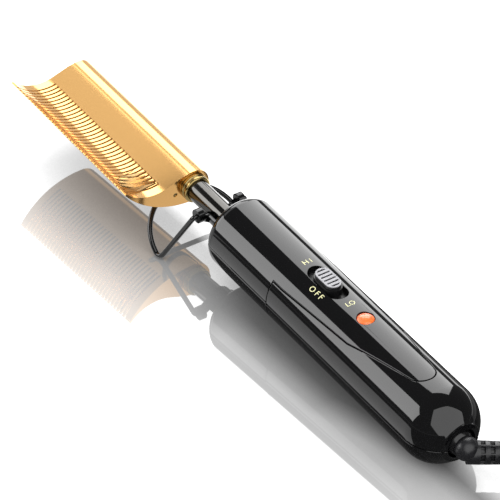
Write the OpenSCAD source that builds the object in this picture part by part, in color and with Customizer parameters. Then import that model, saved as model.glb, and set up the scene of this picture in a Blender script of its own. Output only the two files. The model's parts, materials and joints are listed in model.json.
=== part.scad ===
// Electric hot comb on its folding wire stand.
// The comb and handle are drawn along the X axis and then tilted as one, so that
// the handle's tail and the stand's two feet rest on z = 0.

/* [Overall lengths] */
// Length of the heated comb head
comb_len = 100; // [80:1:120]
// Length of bare neck tube between the handle and the comb
neck_len = 35; // [32:1:42]
// Length of the handle
handle_len = 167; // [163:1:179]

/* [Comb head] */
// Radius of the round spine that holds the heater
spine_r = 8.4; // [7.8:0.1:9.4]
// Reach of the teeth from the spine's axis
tooth_reach = 36.4; // [33:0.2:40]
// Radius of the belly under the spine and the teeth
belly_r = 46; // [42:1:52]
// Radius of the hollow along the top of the teeth
hollow_r = 21; // [18:0.5:26]
// Height of a tooth's tip, measured upright
tip_h = 1.4; // [1.2:0.1:1.8]
// Number of slots between the teeth
slot_count = 35; // [20:1:38]
// Width of one slot
slot_w = 1.15; // [0.8:0.05:1.3]
// Distance from the spine's axis to the roots of the slots
slot_root = 15.3; // [14.5:0.1:18]
// Length of the solid tooth at each end
end_tooth = 4.6; // [3:0.1:6]
// Diameter of the cartridge heater
heater_d = 8; // [6.5:0.1:8.4]
// Length of the cartridge heater
heater_len = 72; // [50:1:78]

/* [Neck] */
// Outer diameter of the neck tube
tube_d = 10.8; // [10.4:0.1:11.2]
// Wall of the neck tube
tube_wall = 0.9; // [0.6:0.05:1]
// Depth that the neck tube goes into the comb
tube_in_comb = 8; // [6:0.5:12]
// Length of the ferrule
ferrule_len = 4; // [3.6:0.1:6]
// Outer diameter of the ferrule
ferrule_d = 13.6; // [13:0.1:15]

/* [Handle] */
// Diameter of the round handle
handle_d = 35.8; // [35:0.1:39]
// Wall of the handle shells
shell_t = 2.4; // [2:0.1:2.6]
// Rounding of the handle's front edge
front_round = 6; // [5:0.1:7]
// Length of the front sleeve, up to the ring seam
sleeve_len = 49.5; // [46:0.5:52]
// Height of the front shells' parting line above the axis
front_part_z = 0; // [-1:0.5:1]
// Height of the rear shells' parting line above the axis
rear_part_z = -1; // [-1.5:0.5:2]
// Width of the seams between the shells
seam_gap = 0.3; // [0.2:0.05:0.4]
// Length of the tongue behind the ring seam
tongue_len = 92.6; // [90:0.5:94]
// Half angle that the tongue spans round the handle
tongue_angle = 53; // [50:1:56]
// Rounding of the tongue's tip
tongue_tip_r = 6; // [5:0.5:7]

/* [Controls] */
// Distance from the handle's front to the middle of the switch
switch_back = 69.5; // [67:0.5:72]
// Length of the switch slot
slot_len = 24; // [23.4:0.2:26]
// Width of the switch slot
slot_width = 9.2; // [9:0.1:10]
// Length of the knob
knob_len = 15.4; // [13.4:0.2:15.6]
// Width of the knob
knob_w = 8.5; // [7.5:0.1:8.6]
// Height of the knob above the handle
knob_proud = 2.5; // [2:0.1:3.5]
// Travel of the knob to each side of OFF
knob_travel = 3.6; // [3:0.1:3.6]
// Distance from the middle of the switch to the power lens
lens_back = 27.5; // [27:0.1:29]
// Diameter of the power lens
lens_d = 7.4; // [6:0.1:8]
// Height of the power lens above the handle
lens_proud = 0.8; // [0.5:0.1:1.5]

/* [Stand] */
// Diameter of the stand's wire
wire_d = 2.4; // [2:0.1:2.6]
// Half width of the stand, to the middle of the wire
stand_half = 23.5; // [21:0.5:26]
// Distance from the handle's front to the stand's hinge
eye_ahead = 13.7; // [13:0.1:15]
// Height of the stand's hinge above the handle's axis
eye_z = 2; // [1:0.1:3]
// Outer diameter of an eye
eye_d = 6.6; // [6:0.1:7]
// Distance from the axis to the outer face of an eye
eye_out = 12.4; // [12:0.1:13]
// Distance from the handle's front to the middle of the foot bend
foot_ahead = 27.8; // [26:0.1:29]
// Drop of the foot bend's middle below the handle's axis
foot_drop = 22.3; // [21:0.1:24]
// Inner bend of the wire at a foot, to the middle of the wire
foot_bend = 3; // [2.6:0.1:3.4]
// Slope of the arch that reaches up under the comb
arch_angle = 38; // [36:1:41]

/* [Cord exit] */
// Radius of the swivel ball
ball_r = 6.6; // [6.2:0.1:6.8]
// Distance from the tail's end to the middle of the ball
ball_in = 5; // [4.6:0.1:5.4]
// Bend of the cord boot away from the handle's axis
boot_angle = 56; // [50:1:60]
// Length of the cord boot
boot_len = 35; // [33:1:36]
// Radius of the cord boot at its thick end
boot_r = 4.9; // [4.6:0.1:5.1]
// Drop of the cord boot below the swivel's axis
boot_drop = 1.6; // [1:0.1:1.8]
// Diameter of the mains cord
cord_d = 6; // [5.6:0.1:6.2]

/* [Hidden] */

// Clearances
fit = 0.05;
pin_fit = 0.08;
slide_gap = 0.3;
far = 400;
// Rods and bends of a wire end this far inside the ball that joins them
joint_inset = 0.1;

// Places along the axis; zero is the middle of the whole length
tail_end = -(comb_len + neck_len + handle_len) / 2;
handle_r = handle_d / 2;
front_face = tail_end + handle_len;
comb_near = front_face + neck_len;
tail_c = tail_end + handle_r;
ring_x = front_face - sleeve_len;
switch_x = front_face - switch_back;
lens_x = switch_x - lens_back;
eye_x = front_face + eye_ahead;
foot_x = front_face + foot_ahead;
ball_x = tail_end + ball_in;

// Comb profile
belly_cz = belly_r - spine_r;
tip_round = 0.35 * tip_h;
tip_y = tooth_reach - tip_round;
tip_low_z = belly_cz - sqrt(belly_r * belly_r - tip_y * tip_y);
tip_top_z = tip_low_z + tip_h;
ridge = [0.67 * spine_r, 0.875 * spine_r];
shoulder = [1.55 * spine_r, 0.583 * spine_r];
hollow_mid = ([tip_y, tip_top_z] + shoulder) / 2;
hollow_chord = [tip_y, tip_top_z] - shoulder;
hollow_rise = sqrt(hollow_r * hollow_r - pow(norm(hollow_chord) / 2, 2));
hollow_c = hollow_mid + hollow_rise * [-hollow_chord[1], hollow_chord[0]] / norm(hollow_chord);
slot_pitch = (comb_len - 2 * end_tooth - slot_w) / (slot_count - 1);
heater_r = heater_d / 2;
tube_r = tube_d / 2;
tube_bore_r = tube_r - tube_wall;
heater_front = comb_near + tube_in_comb + 2 + heater_len;
comb_screw_at = [1.155 * spine_r, -0.155 * spine_r];
comb_screw_r = 1.05;
comb_screw_len = 6;
comb_screw_slot = 0.5;

// Handle interior
inner_r = handle_r - shell_t;
lip_r = inner_r - seam_gap / 2;
lip_t = 1.45;
lip_len = 5;
ledge = 2.2;
tongue_half = handle_r * sin(tongue_angle);
tongue_end = ring_x - tongue_len;
tongue_tip_c = tongue_end + tongue_tip_r;
shoulder_back = 34.6;
tongue_shoulder = [tongue_tip_c + shoulder_back, 0.867 * tongue_half];
washer_x = front_face - shell_t - 2.4;
washer_t = 2;
flange_t = 3;
flange_x = washer_x - 0.2 - flange_t;
flange_r = inner_r - 3;
hub_len = 8;
rib_t = 1.6;
rib_inner_r = 0.6 * inner_r;
tube_back = flange_x - hub_len - 1;

// Housing screws: place along the axis, parting height, for the front and the rear pair
screw_y = 8.5;
front_screw_in = 32;
rear_screw_in = 25.5;
front_screw_x = front_face - front_screw_in;
rear_screw_x = tail_end + rear_screw_in;
boss_r = 3.2;
screw_r = 1.25;
screw_head_r = 2.6;
screw_head_t = 2;
screw_seat_z = -8;
screw_len = 13;

// Circuit board
board_front = ring_x - lip_len - 1;
board_past_lens = 19.7;
board_back = lens_x - board_past_lens;
board_half = 12;
board_top = 4;
board_t = 1.6;
post_r = 2;

// Leads: distance from their start, spread and height of each point before the board
lead_r = 0.9;
lead_pad_y = 4;
heater_rise = [[2, 1.8, -1.5], [10, 2.4, -0.8], [19, 3.4, 2]];
mains_rise = [[0, 3, -7.2], [4, 3, -7.2], [12, 3.2, -4]];

// Switch under the slot
plate_out = inner_r - 0.4;
plate_t = 0.8;
plate_half = slot_len / 2 + knob_travel + 0.7;
plate_w = slot_width / 2 + 2.2;
lever_w = 3;
switch_h = 7;
lever_sink = 2.5;
knob_groove = 0.9;
groove_count = 6;

// Swivel
bearing_x = ball_x + ball_r + 0.5;
bearing_t = 2;
spindle_r = 3;
spindle_front = bearing_x + bearing_t + 7.4;
ring_out_r = 4.2;
ring_len = 1.8;
brush_at_z = -9.5;
brush_t = 4;
seat_r = ball_r + 2.9;
outlet_r = ball_r - 0.2;
elbow_x = ball_x - ball_r - 0.1;
cord_r = cord_d / 2;

// Functions on points
function unit(v) = v / norm(v);
function polar(r, a) = [r * cos(a), r * sin(a)];
function sweep_frame(t) = unit(cross(t, [0, 0, 1]));

// A smooth line through chosen points, n steps from each to the next
function between(a, b, c, d, t) =
    0.5 * (2 * b + (c - a) * t + (2 * a - 5 * b + 4 * c - d) * t * t + (3 * b - a - 3 * c + d) * t * t * t);
function smooth_line(p, n) = concat(
    [for (i = [0:len(p) - 2], k = [0:n - 1])
        between(p[max(i - 1, 0)], p[i], p[i + 1], p[min(i + 2, len(p) - 1)], k / n)],
    [p[len(p) - 1]]);
function line_dir(p, i) = unit(p[min(i + 1, len(p) - 1)] - p[max(i - 1, 0)]);

// Wire bend at corner b of the path a, b, c
function bend_normal(a, b, c) = unit(cross(b - a, c - b));
function bend_turn(a, b, c) = acos(unit(b - a) * unit(c - b));
function bend_cut(a, b, c, r) = r * tan(bend_turn(a, b, c) / 2);
function bend_centre(a, b, c, r) = b + unit(unit(a - b) + unit(c - b)) * r / cos(bend_turn(a, b, c) / 2);

// Stand path: hinge end, hinge bend, foot and arch corner, and the same again on the other side
foot_c = [foot_x, -foot_drop];
eye_c = [eye_x, eye_z];
eye_to_foot = foot_c - eye_c;
leg_angle = atan2(eye_to_foot[1], eye_to_foot[0]) - asin(foot_bend / norm(eye_to_foot));
arch_gap = 0.4;
arch_top_z = -(spine_r + arch_gap + wire_d / 2);
arch_start = foot_c + foot_bend * [sin(arch_angle), -cos(arch_angle)];
arch_reach = (arch_top_z - arch_start[1]) / sin(arch_angle);
arch_bend = min(stand_half, arch_reach) - 0.5;
arch_top_x = arch_start[0] + arch_reach * cos(arch_angle);
leg_side = [cos(leg_angle), sin(leg_angle)];
arch_side = [cos(arch_angle), sin(arch_angle)];
arch_top = [arch_top_x, arch_top_z];
leg_reach = ((arch_top - eye_c)[0] * arch_side[1] - (arch_top - eye_c)[1] * arch_side[0])
    / (leg_side[0] * arch_side[1] - leg_side[1] * arch_side[0]);
foot_corner = eye_c + leg_reach * leg_side;
pin_in = eye_out - 3.5;
leg_top_y = eye_out + wire_d / 2 + 0.1;
hinge_bend = 0.8 * wire_d;
stand_side = [
    [eye_x, pin_in, eye_z],
    [eye_x, leg_top_y, eye_z],
    [foot_corner[0], stand_half, foot_corner[1]],
    [arch_top_x, stand_half, arch_top_z]
];
stand_path = concat(stand_side, [for (i = [3:-1:0]) [stand_side[i][0], -stand_side[i][1], stand_side[i][2]]]);
stand_bends = [0, hinge_bend, foot_bend, arch_bend, arch_bend, foot_bend, hinge_bend, 0];

// Rest: the tail's flat land and the foot bends stand on z = 0
land_depth = 0.25;
foot_normal = bend_normal(stand_path[1], stand_path[2], stand_path[3]);
foot_mid = bend_centre(stand_path[1], stand_path[2], stand_path[3], foot_bend);
foot_low = foot_bend * sqrt(1 - foot_normal[2] * foot_normal[2]) + wire_d / 2;
tail_low = handle_r - land_depth;
rest_span = [foot_mid[0] - tail_c, foot_mid[2]];
rest_tilt = asin((foot_low - tail_low) / norm(rest_span)) - atan2(rest_span[1], rest_span[0]);
rest_z = tail_low - tail_c * sin(rest_tilt);
axis_y = (stand_half + wire_d / 2 - tooth_reach) / 2;

// Boot direction and its points in the standing frame
boot_dir = [-cos(boot_angle), -sin(boot_angle), 0];
function stood(p) = [
    p[0] * cos(rest_tilt) - p[2] * sin(rest_tilt),
    axis_y + p[1],
    rest_z + p[0] * sin(rest_tilt) + p[2] * cos(rest_tilt)
];
function boot_point(s) = stood([elbow_x, 0, -boot_drop] + s * boot_dir);
boot_bore_len = 8;

// Cord: coil of two columns by four layers behind the tail, lead into it, lead out to the plug
coil_at = [-217, -30];
coil_in_r = 26;
coil_out_r = 38;
coil_h = 24;
lead_route = [
    [-178, -43.8, 14.4], [-184, -52, 14.5], [-192, -58.8, 14.7], [-201.5, -62.9, 14.9], [-212, -64.8, 15]
];
plug_route = [
    [-200, 0, 21], [-187, -12, 21.2], [-183, -22, 22.5], [-182, -31, 24.8], [-185, -42, 27.6],
    [-192.5, -50, 29.6], [-199, -53.2, 30.4], [-206, -54, 30.5], [-211, -54, 30.5]
];
plug_at = [-206, -54, 30.5];
plug_boot_len = 14;
plug_body_len = 30;
plug_w = 22;
plug_h = 13;
blade_len = 16;
blade_w = 6.35;
blade_t = 1.5;
blade_pitch = 12.7;

// Turns a profile's Z axis onto X
module along_x() {
    rotate([0, 90, 0]) children();
}

// Stands the comb's own frame on the table
module posed() {
    translate([0, axis_y, rest_z]) rotate([0, -rest_tilt, 0]) children();
}

// Round bar from a to b
module rod(a, b, r) {
    d = b - a;
    translate(a)
        rotate([0, acos(d[2] / norm(d)), atan2(d[1], d[0])])
            cylinder(r = r, h = norm(d), $fn = 32);
}

// Bend of round bar at corner b
module bent(a, b, c, bend_r, r) {
    n = bend_normal(a, b, c);
    centre = bend_centre(a, b, c, bend_r);
    start = b + unit(a - b) * bend_cut(a, b, c, bend_r);
    ex = unit(start - centre);
    ey = cross(n, ex);
    short = joint_inset / bend_r * 180 / PI;
    multmatrix([
        [ex[0], ey[0], n[0], centre[0]],
        [ex[1], ey[1], n[1], centre[1]],
        [ex[2], ey[2], n[2], centre[2]],
        [0, 0, 0, 1]
    ])
        rotate([0, 0, short]) rotate_extrude(angle = bend_turn(a, b, c) - 2 * short, $fn = 96)
            translate([bend_r, 0]) circle(r = r, $fn = 32);
}

// Round bar along a path with a bend at each inner corner
module bent_bar(path, bends, r) {
    last = len(path) - 1;
    cuts = [for (i = [0:last])
        i == 0 || i == last ? 0 : bend_cut(path[i - 1], path[i], path[i + 1], bends[i])];
    for (i = [0:last - 1]) {
        d = unit(path[i + 1] - path[i]);
        start = path[i] + d * cuts[i];
        end = path[i + 1] - d * cuts[i + 1];
        rod(start + d * (i == 0 ? 0 : joint_inset), end - d * (i == last - 1 ? 0 : joint_inset), r);
        if (i > 0) translate(start) sphere(r = r + fit / 3, $fn = 32);
        if (i < last - 1) translate(end) sphere(r = r + fit / 3, $fn = 32);
    }
    for (i = [1:last - 1]) {
        bent(path[i - 1], path[i], path[i + 1], bends[i], r);
    }
}

// Round cord or wire swept along a line of points
module swept(line, r, sides) {
    last = len(line) - 1;
    rings = [for (i = [0:last], j = [0:sides - 1])
        let (t = line_dir(line, i), u = sweep_frame(t), v = cross(t, u), a = 360 * j / sides)
            line[i] + r * (u * cos(a) + v * sin(a))];
    skin = [for (i = [0:last - 1], j = [0:sides - 1])
        let (k = (j + 1) % sides, a = i * sides, b = a + sides)
            each [[a + j, b + j, b + k], [a + j, b + k, a + k]]];
    caps = [[for (j = [0:sides - 1]) j], [for (j = [0:sides - 1]) last * sides + sides - 1 - j]];
    polyhedron(points = rings, faces = concat(skin, caps));
}

// Stadium plan of a slot, knob or grip
module oval(l, w) {
    square([l - w, w], center = true);
    for (s = [-1, 1]) translate([s * (l - w) / 2, 0]) circle(d = w, $fn = 64);
}

// Comb profile across the teeth: X is the reach, Y is the height
module comb_outline() {
    difference() {
        intersection() {
            translate([0, belly_cz]) circle(r = belly_r, $fn = 360);
            polygon([
                [0, -spine_r - 1], [0, spine_r], ridge, shoulder,
                [tip_y, tip_top_z], [tip_y, -spine_r - 1]
            ]);
        }
        translate(hollow_c) circle(r = hollow_r, $fn = 240);
    }
    circle(r = spine_r, $fn = 96);
    translate([tip_y, (tip_low_z + tip_top_z) / 2]) circle(r = tip_round, $fn = 32);
}

// Half profile of the handle, inset by a wall: X is the radius, Y runs along the axis
module handle_profile(inset) {
    r = handle_r - inset;
    f = front_round - inset;
    translate([0, tail_c]) square([r, front_face - front_round - tail_c]);
    translate([0, tail_c]) square([r - f, front_face - inset - tail_c]);
    translate([r - f, front_face - front_round]) circle(r = f, $fn = 96);
    intersection() {
        translate([0, tail_c]) circle(r = r, $fn = 180);
        translate([0, tail_c - r - 1]) square([r + 1, r + 1.5]);
    }
}

module shell_profile() {
    difference() {
        handle_profile(0);
        handle_profile(shell_t);
    }
}

// Front shells with the hole for the neck and the rib behind the flange
module front_profile() {
    difference() {
        union() {
            shell_profile();
            translate([rib_inner_r, flange_x - 0.2 - rib_t]) square([inner_r + 0.2 - rib_inner_r, rib_t]);
        }
        translate([0, front_face - 2 * shell_t]) square([tube_r + slide_gap, 3 * shell_t]);
    }
}

// Rear shells with the seat of the swivel ball and the spindle's bearing
module rear_profile() {
    difference() {
        union() {
            shell_profile();
            translate([0, tail_end + 2]) square([seat_r, bearing_x + bearing_t - tail_end - 2]);
        }
        translate([0, tail_end - 1]) square([ball_r + slide_gap, bearing_x - tail_end + 1]);
        translate([0, bearing_x - 1]) square([spindle_r + pin_fit, bearing_t + 2]);
        polygon([
            [0, tail_end - 1], [outlet_r + 1, tail_end - 1], [outlet_r, tail_end + 1.6],
            [ball_r + slide_gap, tail_end + 3.4], [0, tail_end + 3.4]
        ]);
    }
}

module turned() {
    along_x() rotate_extrude($fn = 180) children();
}

module box_above(z) {
    translate([-far, -far, z]) cube([2 * far, 2 * far, far]);
}

module box_below(z) {
    translate([-far, -far, z - far]) cube([2 * far, 2 * far, far]);
}

module box_ahead(x) {
    translate([x, -far, -far]) cube([far, 2 * far, 2 * far]);
}

module box_behind(x) {
    translate([x - far, -far, -far]) cube([far, 2 * far, 2 * far]);
}

// Plan of the tongue, grown by g on each side, with its rounded tip
module tongue_plan(g) {
    r = tongue_tip_r + g;
    s = tongue_shoulder + [0, g];
    from_tip = s - [tongue_tip_c, 0];
    touch = atan2(from_tip[1], from_tip[0]) + acos(r / norm(from_tip));
    tip = [for (a = [touch:(360 - 2 * touch) / 16:360 - touch + 0.01]) [tongue_tip_c, 0] + polar(r, a)];
    side = [[ring_x + 8, tongue_half + g], [ring_x - 7, tongue_half + g], s];
    polygon(concat(side, tip, [for (i = [2:-1:0]) [side[i][0], -side[i][1]]]));
}

module tongue_prism(g) {
    linear_extrude(height = far) tongue_plan(g);
}

module at_screws(x) {
    for (s = [-1, 1]) translate([x, s * screw_y, 0]) children();
}

// Posts for one pair of screws, kept inside the handle's skin
module bosses(x, z0, z1) {
    intersection() {
        at_screws(x) translate([0, 0, z0]) cylinder(r = boss_r, h = z1 - z0, $fn = 48);
        turned() handle_profile(shell_t / 2);
    }
}

module screw_wells(x) {
    at_screws(x) {
        translate([0, 0, -far]) cylinder(r = screw_head_r + slide_gap, h = far + screw_seat_z, $fn = 48);
        translate([0, 0, screw_seat_z - 1]) cylinder(r = screw_r + fit, h = far, $fn = 32);
    }
}

module screw_pilots(x, part_z) {
    at_screws(x)
        translate([0, 0, part_z - 1])
            cylinder(r = screw_r + fit, h = screw_seat_z + screw_len + 1.5 - part_z, $fn = 32);
}

module comb_head() {
    color("#ECB26E") posed() difference() {
        translate([comb_near, 0, 0]) rotate([90, 0, 90]) linear_extrude(height = comb_len) comb_outline();
        for (i = [0:slot_count - 1]) {
            translate([comb_near + end_tooth + i * slot_pitch, 0, -far / 2]) {
                translate([0, slot_root + slot_w / 2, 0]) cube([slot_w, tooth_reach, far]);
                translate([slot_w / 2, slot_root + slot_w / 2, 0]) cylinder(d = slot_w, h = far, $fn = 24);
            }
        }
        translate([comb_near - 1, 0, 0]) along_x() cylinder(r = tube_r + fit, h = tube_in_comb + 1, $fn = 64);
        translate([comb_near - 1, 0, 0]) along_x()
            cylinder(r = heater_r + fit, h = heater_front + 1 - comb_near + 1, $fn = 64);
        translate([comb_near - 1, comb_screw_at[0], comb_screw_at[1]]) along_x()
            cylinder(r = comb_screw_r + fit, h = comb_screw_len + 1.5, $fn = 32);
    }
}

module comb_screw() {
    color("#8A6A3A") posed() translate([comb_near + 0.3, comb_screw_at[0], comb_screw_at[1]]) along_x()
        difference() {
            cylinder(r = comb_screw_r, h = comb_screw_len, $fn = 32);
            translate([-comb_screw_slot / 2, -2, -0.1]) cube([comb_screw_slot, 4, 0.7]);
        }
}

module heater_rod() {
    color("#C9C4B8") posed() translate([heater_front - heater_len, 0, 0]) along_x()
        cylinder(r = heater_r, h = heater_len, $fn = 64);
}

module thermal_fuse() {
    fuse_r = 1.5;
    fuse_len = 10;
    fuse_z = 1.8;
    color("#D8D2C0") posed() translate([comb_near - 0.65 * fuse_len, 0, fuse_z]) along_x()
        cylinder(r = fuse_r, h = fuse_len, $fn = 32);
}

module ferrule() {
    r = ferrule_d / 2;
    color("#6B5638") posed() translate([comb_near - ferrule_len, 0, 0]) along_x() rotate_extrude($fn = 96)
        polygon([
            [tube_r + fit, 0], [r - 0.5, 0], [r, 0.5], [r, 1.7], [r - 0.6, 2], [r - 0.6, 2.5],
            [r, 2.8], [r, ferrule_len], [tube_r + fit, ferrule_len]
        ]);
}

module barrel_tube() {
    tube_len = comb_near + tube_in_comb - tube_back;
    color("#7D7B76") posed() translate([tube_back, 0, 0]) along_x() difference() {
        cylinder(r = tube_r, h = tube_len, $fn = 96);
        translate([0, 0, -1]) cylinder(r = tube_bore_r, h = tube_len + 2, $fn = 64);
    }
}

module barrel_flange() {
    color("#B8B8B4") posed() translate([flange_x - hub_len, 0, 0]) along_x() rotate_extrude($fn = 96)
        polygon([
            [tube_r + fit, 0], [tube_r + 2.5, 0], [tube_r + 2.5, hub_len], [flange_r, hub_len],
            [flange_r, hub_len + flange_t], [tube_r + fit, hub_len + flange_t]
        ]);
}

module heat_washer() {
    color("#D9C9A0") posed() translate([washer_x, 0, 0]) along_x() difference() {
        cylinder(r = flange_r, h = washer_t, $fn = 96);
        translate([0, 0, -1]) cylinder(r = tube_r + fit, h = washer_t + 2, $fn = 64);
    }
}

module heater_wires() {
    top = board_top + lead_r;
    in_tube = [comb_near + tube_in_comb + 2, comb_near - 10, front_face];
    on_board = [board_front + 5, board_front, board_front - 3];
    color("#E8E4DC") posed() for (s = [-1, 1]) {
        swept(smooth_line(concat(
            [for (x = in_tube) [x, s * heater_rise[0][1], heater_rise[0][2]]],
            [for (p = heater_rise) [tube_back - p[0], s * p[1], p[2]]],
            [for (x = on_board) [x, s * lead_pad_y, top]]
        ), 3), lead_r, 8);
    }
}

module stand_bracket() {
    saddle_r = tube_r + 1.6;
    arm_w = 3;
    saddle_back = front_face + 2.5;
    saddle_front = eye_x + arm_w / 2;
    color("#1B1B1D") posed() difference() {
        union() {
            intersection() {
                translate([saddle_back, 0, 0]) along_x()
                    cylinder(r = saddle_r, h = saddle_front - saddle_back, $fn = 96);
                box_below(1);
            }
            for (s = [-1, 1]) {
                translate([eye_x - arm_w / 2, 0, 0]) rotate([90, 0, 90]) linear_extrude(height = arm_w)
                    polygon([
                        [s * (saddle_r - 1.2), -3.4], [s * (eye_out - 2), eye_z - 2.4],
                        [s * (eye_out - 2), eye_z + 1.2], [s * (saddle_r - 1.2), 0.9]
                    ]);
                translate([eye_x, s * (eye_out - 1.5), eye_z]) rotate([90, 0, 0])
                    cylinder(d = eye_d, h = 3, center = true, $fn = 64);
            }
        }
        translate([saddle_back - 1, 0, 0]) along_x()
            cylinder(r = tube_r + fit, h = saddle_front - saddle_back + 2, $fn = 96);
        translate([eye_x, 0, eye_z]) rotate([90, 0, 0])
            cylinder(r = wire_d / 2 + pin_fit, h = 3 * eye_out, center = true, $fn = 48);
    }
}

module wire_stand() {
    color("#1B1B1D") posed() bent_bar(stand_path, stand_bends, wire_d / 2);
}

module front_upper_shell() {
    color("#2A2A2C") posed() difference() {
        union() {
            intersection() {
                turned() front_profile();
                box_ahead(ring_x + seam_gap / 2);
                box_above(front_part_z + seam_gap / 2);
            }
            intersection() {
                turned() shell_profile();
                tongue_prism(0);
            }
            bosses(front_screw_x, front_part_z + seam_gap / 2, inner_r);
        }
        translate([switch_x, 0, 0]) linear_extrude(height = far) oval(slot_len, slot_width);
        translate([lens_x, 0, 0]) cylinder(d = lens_d + 2 * slide_gap, h = far, $fn = 64);
        screw_pilots(front_screw_x, front_part_z);
    }
}

module front_lower_shell() {
    color("#2A2A2C") posed() difference() {
        union() {
            intersection() {
                turned() front_profile();
                box_ahead(ring_x + seam_gap / 2);
                box_below(front_part_z - seam_gap / 2);
            }
            bosses(front_screw_x, -inner_r, front_part_z - seam_gap / 2);
        }
        screw_wells(front_screw_x);
    }
}

// Lip that runs on under the front sleeve, and its continuation as the tongue's ledge
module inner_layer() {
    intersection() {
        turned() difference() {
            handle_profile(shell_t - 0.1);
            handle_profile(shell_t + seam_gap / 2 + lip_t);
        }
        box_behind(ring_x + lip_len);
        union() {
            box_ahead(ring_x - lip_len);
            tongue_prism(ledge);
        }
    }
}

// Skin zone outside the lip, to be cleared where the front shells lie
module over_lip() {
    along_x() translate([0, 0, -far]) difference() {
        cylinder(r = handle_r + 1, h = 2 * far, $fn = 180);
        cylinder(r = lip_r, h = 2 * far, $fn = 180);
    }
}

module rear_upper_shell() {
    color("#242426") posed() difference() {
        union() {
            intersection() {
                turned() rear_profile();
                box_behind(ring_x - seam_gap / 2);
                box_above(rear_part_z + seam_gap / 2);
            }
            intersection() {
                inner_layer();
                box_above(rear_part_z + seam_gap / 2);
            }
            bosses(rear_screw_x, rear_part_z + seam_gap / 2, inner_r);
        }
        tongue_prism(-ledge);
        intersection() {
            over_lip();
            union() {
                tongue_prism(seam_gap);
                box_ahead(ring_x - seam_gap / 2);
            }
        }
        screw_pilots(rear_screw_x, rear_part_z);
    }
}

module rear_lower_shell() {
    post_x = [board_front - 6, board_back + 6];
    pedestal = [6, 8];
    color("#242426") difference() {
        posed() difference() {
            union() {
                intersection() {
                    turned() rear_profile();
                    box_behind(ring_x - seam_gap / 2);
                    box_below(rear_part_z - seam_gap / 2);
                }
                intersection() {
                    turned() difference() {
                        handle_profile(shell_t + seam_gap / 2);
                        handle_profile(shell_t + seam_gap / 2 + lip_t);
                    }
                    box_behind(ring_x + lip_len);
                    box_ahead(ring_x - seam_gap / 2);
                    box_below(rear_part_z - seam_gap / 2);
                }
                intersection() {
                    turned() difference() {
                        handle_profile(shell_t / 2);
                        handle_profile(shell_t + seam_gap / 2 + lip_t);
                    }
                    box_behind(ring_x - seam_gap / 2);
                    box_ahead(ring_x - lip_len);
                    box_below(rear_part_z - seam_gap / 2);
                }
                bosses(rear_screw_x, -inner_r, rear_part_z - seam_gap / 2);
                intersection() {
                    for (x = post_x, s = [-1, 1])
                        translate([x, s * (board_half - 3), -inner_r])
                            cylinder(r = post_r, h = inner_r + board_top - board_t, $fn = 32);
                    turned() handle_profile(shell_t / 2);
                }
                intersection() {
                    translate([bearing_x + bearing_t + 0.5, -pedestal[1] / 2, -inner_r])
                        cube([pedestal[0], pedestal[1], inner_r + brush_at_z]);
                    turned() handle_profile(shell_t / 2);
                }
            }
            screw_wells(rear_screw_x);
        }
        box_below(0);
    }
}

module housing_screws() {
    recess_len = 3;
    recess_w = 0.6;
    recess_depth = 1;
    color("#9A9A98") posed() for (x = [front_screw_x, rear_screw_x]) at_screws(x)
        translate([0, 0, screw_seat_z]) {
            difference() {
                translate([0, 0, -screw_head_t]) cylinder(r = screw_head_r, h = screw_head_t, $fn = 48);
                for (a = [0, 90]) rotate([0, 0, a])
                    translate([-recess_len / 2, -recess_w / 2, -screw_head_t - recess_depth])
                        cube([recess_len, recess_w, 2 * recess_depth]);
            }
            cylinder(r = screw_r, h = screw_len, $fn = 32);
        }
}

module circuit_board() {
    color("#2E6B45") posed() translate([board_back, -board_half, board_top - board_t])
        cube([board_front - board_back, 2 * board_half, board_t]);
}

module board_components() {
    capacitor = [9, 5, 7];
    resistor_r = 1.2;
    resistor_len = 7;
    diode_r = 1.4;
    diode_len = 5;
    row_x = lens_x + 5;
    capacitor_at = [lens_x - 14, -8, 0];
    color("#A8743C") posed() translate([0, 0, board_top]) {
        translate(capacitor_at) cube(capacitor);
        for (y = [4.5, 7.5]) translate([row_x, y, resistor_r]) along_x()
            cylinder(r = resistor_r, h = resistor_len, $fn = 32);
        translate([row_x, -7, diode_r]) along_x() cylinder(r = diode_r, h = diode_len, $fn = 32);
    }
}

module slide_switch() {
    slot = 2 * knob_travel + lever_w + 2 * slide_gap;
    color("#3A3A3C") posed() translate([switch_x, 0, board_top]) difference() {
        translate([-slot / 2 - 2, -4.5, 0]) cube([slot + 4, 9, switch_h]);
        translate([-slot / 2, -lever_w / 2 - slide_gap, switch_h - lever_sink - slide_gap])
            cube([slot, lever_w + 2 * slide_gap, switch_h]);
    }
}

module switch_lever() {
    base = board_top + switch_h - lever_sink;
    top = sqrt(pow(plate_out - plate_t, 2) - pow(lever_w / 2, 2));
    color("#D8D8D4") posed() translate([switch_x - lever_w / 2, -lever_w / 2, base])
        cube([lever_w, lever_w, top - base]);
}

module slot_shutter() {
    color("#121214") posed() intersection() {
        along_x() translate([0, 0, switch_x - plate_half]) difference() {
            cylinder(r = plate_out, h = 2 * plate_half, $fn = 180);
            translate([0, 0, -1]) cylinder(r = plate_out - plate_t, h = 2 * plate_half + 2, $fn = 180);
        }
        translate([switch_x - far / 2, -plate_w, 0]) cube([far, 2 * plate_w, far]);
    }
}

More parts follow.
